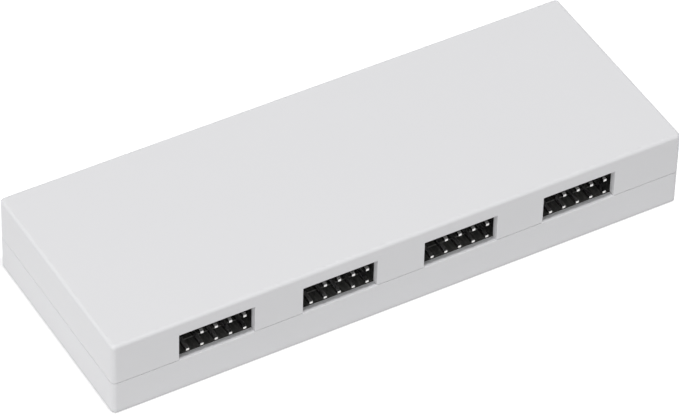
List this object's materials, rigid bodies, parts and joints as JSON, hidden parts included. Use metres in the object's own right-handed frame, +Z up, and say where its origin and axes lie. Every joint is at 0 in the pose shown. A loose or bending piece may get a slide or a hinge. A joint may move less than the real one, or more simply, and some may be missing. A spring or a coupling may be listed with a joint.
{
  "type": "internal usb hub",
  "caption": "Flat closed box with keyed pin-header ports along its front wall, an upstream header and a power inlet at the back, for use inside a computer case.",
  "frame": {"origin": "middle of the flat underside", "axes": "+X along the length with the ports' fronts facing -Y, +Z up out of the plain top"},
  "size_m": [0.104, 0.0388, 0.0145],
  "materials": {
    "case_plastic": "fine moulded texture, satin",
    "header_plastic": "moulded, satin",
    "pin_tin": "bright tin plate",
    "contact_gold": "thin gold plate",
    "board_laminate": "black solder mask",
    "screw_steel": "zinc plated",
    "chip_mould": "moulded, matt",
    "lead_tin": "tin plate",
    "can_aluminium": "drawn, bright",
    "crystal_steel": "drawn, bright",
    "fuse_body": "moulded, satin",
    "resistor_body": "glazed ceramic",
    "ceramic_body": "fired ceramic"
  },
  "bodies": {
    "root": {"case_screws": "screw_steel", "chip_capacitors": "ceramic_body", "chip_resistors": "resistor_body", "circuit_board": "board_laminate", "crystal_base": "header_plastic", "crystal_can": "crystal_steel", "hub_controller": "chip_mould", "hub_controller_leads": "lead_tin", "input_capacitor_base": "header_plastic", "input_capacitor_can": "can_aluminium", "lower_shell": "case_plastic", "port_1_capacitor_base": "header_plastic", "port_1_capacitor_can": "can_aluminium", "port_1_fuse": "fuse_body", "port_1_insulator": "header_plastic", "port_1_pins": "pin_tin", "port_1_surge_guard": "chip_mould", "port_2_capacitor_base": "header_plastic", "port_2_capacitor_can": "can_aluminium", "port_2_fuse": "fuse_body", "port_2_insulator": "header_plastic", "port_2_pins": "pin_tin", "port_2_surge_guard": "chip_mould", "port_3_capacitor_base": "header_plastic", "port_3_capacitor_can": "can_aluminium", "port_3_fuse": "fuse_body", "port_3_insulator": "header_plastic", "port_3_pins": "pin_tin", "port_3_surge_guard": "chip_mould", "port_4_capacitor_base": "header_plastic", "port_4_capacitor_can": "can_aluminium", "port_4_fuse": "fuse_body", "port_4_insulator": "header_plastic", "port_4_pins": "pin_tin", "port_4_surge_guard": "chip_mould", "power_inlet_contacts": "contact_gold", "power_inlet_housing": "header_plastic", "regulator": "chip_mould", "regulator_leads": "lead_tin", "surge_guard_leads": "lead_tin", "upper_shell": "case_plastic", "upstream_insulator": "header_plastic", "upstream_pins": "pin_tin"}
  },
  "joints": []
}
